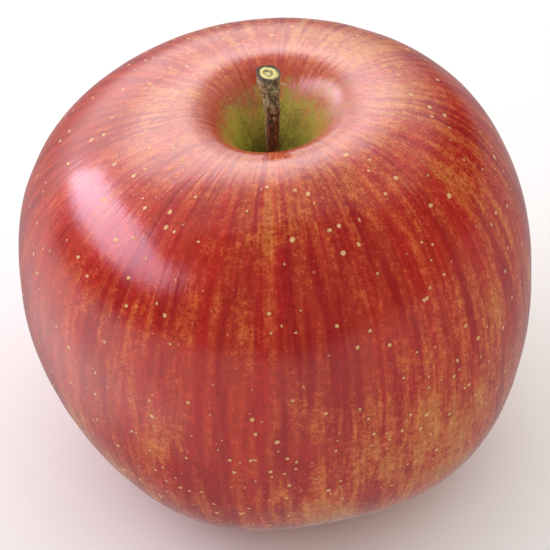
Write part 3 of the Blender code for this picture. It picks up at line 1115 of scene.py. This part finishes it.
def add_room(settings):
    """Even walls that light the apple softly, and the windows that only its wax mirrors."""
    world = bpy.data.worlds.new("pale studio")
    bpy.context.scene.world = world
    world.use_nodes = True
    tree = world.node_tree
    background = tree.nodes["Background"]
    towards = add(tree, "SeparateXYZ", {"Vector": add(tree, "TexCoord").outputs["Generated"]})
    x, y, z = (towards.outputs[axis] for axis in "XYZ")
    turn = add(tree, "Math", {0: x, 1: y}, operation="ARCTAN2")

    # The ceiling's glow starts right overhead, and the wall behind glows more, most to the left.
    overhead = add(
        tree,
        "Math",
        {0: between(tree, y, -0.01, NO_END, 0.11), 1: between(tree, z, 0.45, NO_END, 0.3)},
        operation="MULTIPLY",
    )
    right_end = between(tree, x, -NO_END, 0.62, 0.14)
    overhead = add(tree, "Math", {0: overhead, 1: right_end}, operation="MULTIPLY")
    behind = add(
        tree,
        "Math",
        {
            0: bearing(tree, turn, -50, 90, 32),
            1: between(tree, z, 0.02, 0.78, 0.17),
        },
        operation="MULTIPLY",
    )
    rightward = add(tree, "Math", {0: z, 1: -0.3, 2: x}, operation="MULTIPLY_ADD")
    leftward = between(tree, rightward, -NO_END, 0.10, 0.44)
    behind = add(tree, "Math", {0: behind, 1: leftward}, operation="MULTIPLY")
    glow = add(tree, "Math", {0: behind, 1: 3.7, 2: overhead}, operation="MULTIPLY_ADD")
    panel = add(
        tree,
        "Math",
        {
            0: bearing(tree, turn, -34, 6, 14),
            1: between(tree, z, 0.50, 0.74, 0.10),
        },
        operation="MULTIPLY",
    )
    glow = add(tree, "Math", {0: panel, 1: 5.0, 2: glow}, operation="MULTIPLY_ADD")

    # The window at the left is seen aslant, and is brightest at its far end.
    minus_x = add(tree, "Math", {0: x, 1: -1.0}, operation="MULTIPLY")
    minus_x = add(tree, "Math", {0: minus_x, 1: 0.02}, operation="MAXIMUM")
    wide = add(tree, "Math", {0: y, 1: minus_x}, operation="DIVIDE")
    high = add(tree, "Math", {0: z, 1: minus_x}, operation="DIVIDE")
    high = add(tree, "Math", {0: wide, 1: 0.27, 2: high}, operation="MULTIPLY_ADD")
    window = add(
        tree,
        "Math",
        {0: between(tree, wide, -0.90, 1.00, 0.15), 1: between(tree, high, 0.56, 1.12, 0.09)},
        operation="MULTIPLY",
    )
    strength = add(tree, "Math", {0: wide, 1: 6.0, 2: 11.0}, operation="MULTIPLY_ADD")
    strength = add(tree, "Math", {0: strength, 1: 14.5}, operation="MINIMUM")
    window = add(tree, "Math", {0: window, 1: strength}, operation="MULTIPLY")

    # The floor is mirrored dim, but bright at the left, under the window.
    floor = between(tree, z, -NO_END, -0.02, 0.10)
    front = add(
        tree,
        "MapRange",
        {"Value": y, "From Min": -0.2, "From Max": -0.9, "To Min": 0.45, "To Max": 0.95},
    )
    glow = add(tree, "Math", {0: floor, 1: front, 2: glow}, operation="MULTIPLY_ADD")
    left = bearing(tree, turn, -140, -55, 32)
    left = add(
        tree,
        "Math",
        {0: left, 1: between(tree, z, -0.75, 0.08, 0.14)},
        operation="MULTIPLY",
    )
    glow = add(tree, "Math", {0: left, 1: 2.0, 2: glow}, operation="MULTIPLY_ADD")
    warm_share = add(tree, "CombineColor", {"Red": glow, "Green": glow, "Blue": glow})
    cool_share = add(
        tree,
        "VectorMath",
        {0: linear("#E4E2FF"), "Scale": window},
        operation="SCALE",
    )
    mirrored = add(tree, "VectorMath", {0: warm_share, 1: cool_share}, operation="ADD")
    mirrored = add(
        tree,
        "VectorMath",
        {0: mirrored, "Scale": settings.mirrored},
        operation="SCALE",
    )
    mirrored = add(tree, "VectorMath", {0: mirrored, 1: (FAINTEST,) * 3}, operation="ADD")

    # The walls light the apple evenly, the wax mirrors the windows, and the backdrop is white.
    path = add(tree, "LightPath")
    light = add(
        tree,
        "Mix",
        {"Factor": path.outputs["Is Glossy Ray"], "A": (settings.room,) * 3, "B": mirrored},
        data_type="RGBA",
    )
    light = add(
        tree,
        "Mix",
        {"Factor": path.outputs["Is Camera Ray"], "A": light, "B": (CAMERA_WHITE,) * 3},
        data_type="RGBA",
    )
    tree.links.new(light.outputs[2], background.inputs["Color"])


def add_camera(settings):
    """Looks down on the apple from the front."""
    aim = Vector((-0.42 * MM, -0.10 * MM, 36.5 * MM))
    tilt = settings.elevation
    back = Vector((0, -math.cos(tilt), math.sin(tilt))) * settings.distance
    bpy.ops.object.camera_add(location=aim + back, rotation=(math.pi / 2 - tilt, 0, 0))
    camera = bpy.context.object
    camera.data.lens = settings.lens
    camera.data.clip_start = 0.01
    bpy.context.scene.camera = camera
    bpy.context.scene.view_settings.view_transform = "Standard"


# ---------------------------------------------------------------- operators and panel


class REDAPPLE_OT_stage(bpy.types.Operator):
    """Adds the floor, the lamps and the camera"""

    bl_idname = "red_apple.stage"
    bl_label = "Stage"

    def execute(self, context):
        build_stage(context.scene.apple_stage)
        return {"FINISHED"}


class REDAPPLE_OT_skin(bpy.types.Operator):
    """Models the fruit's skin round its solid"""

    bl_idname = "red_apple.skin"
    bl_label = "Skin"

    def execute(self, context):
        build_skin(context.scene.apple_skin)
        return {"FINISHED"}


class REDAPPLE_OT_stem(bpy.types.Operator):
    """Models the stem with its bark and its cut end"""

    bl_idname = "red_apple.stem"
    bl_label = "Stem"

    def execute(self, context):
        build_stem(context.scene.apple_stem)
        return {"FINISHED"}


class REDAPPLE_OT_sepals(bpy.types.Operator):
    """Models the dried sepals round the eye"""

    bl_idname = "red_apple.sepals"
    bl_label = "Sepals"

    def execute(self, context):
        build_sepals(context.scene.apple_eye)
        return {"FINISHED"}


class REDAPPLE_OT_threads(bpy.types.Operator):
    """Models the dried stamens and styles in the eye"""

    bl_idname = "red_apple.threads"
    bl_label = "Stamens and styles"

    def execute(self, context):
        build_threads(context.scene.apple_eye)
        return {"FINISHED"}


OPERATORS = (
    REDAPPLE_OT_stage,
    REDAPPLE_OT_skin,
    REDAPPLE_OT_stem,
    REDAPPLE_OT_sepals,
    REDAPPLE_OT_threads,
)
SETTINGS = {
    "apple_stage": AppleStageSettings,
    "apple_skin": AppleSkinSettings,
    "apple_stem": AppleStemSettings,
    "apple_eye": AppleEyeSettings,
}


class REDAPPLE_PT_panel(bpy.types.Panel):
    """Lists the apple's pieces and their settings"""

    bl_label = "Red apple"
    bl_idname = "REDAPPLE_PT_panel"
    bl_space_type = "VIEW_3D"
    bl_region_type = "UI"
    bl_category = "Red apple"

    def draw(self, context):
        for operator in OPERATORS:
            self.layout.operator(operator.bl_idname)
        for group, kind in SETTINGS.items():
            box = self.layout.box()
            for name in kind.__annotations__:
                box.prop(getattr(context.scene, group), name)


CLASSES = (*SETTINGS.values(), *OPERATORS, REDAPPLE_PT_panel)


def register():
    """Registers the classes and hangs each group of settings on the scene."""
    for made in CLASSES:
        bpy.utils.register_class(made)
    for group, kind in SETTINGS.items():
        setattr(bpy.types.Scene, group, PointerProperty(type=kind))


def unregister():
    """Takes the settings off the scene and unregisters the classes."""
    for group in SETTINGS:
        delattr(bpy.types.Scene, group)
    for made in reversed(CLASSES):
        bpy.utils.unregister_class(made)


def main():
    """Builds every piece in order."""
    register()
    bpy.ops.red_apple.stage()
    bpy.ops.red_apple.skin()
    bpy.ops.red_apple.stem()
    bpy.ops.red_apple.sepals()
    bpy.ops.red_apple.threads()


if __name__ == "__main__":
    main()
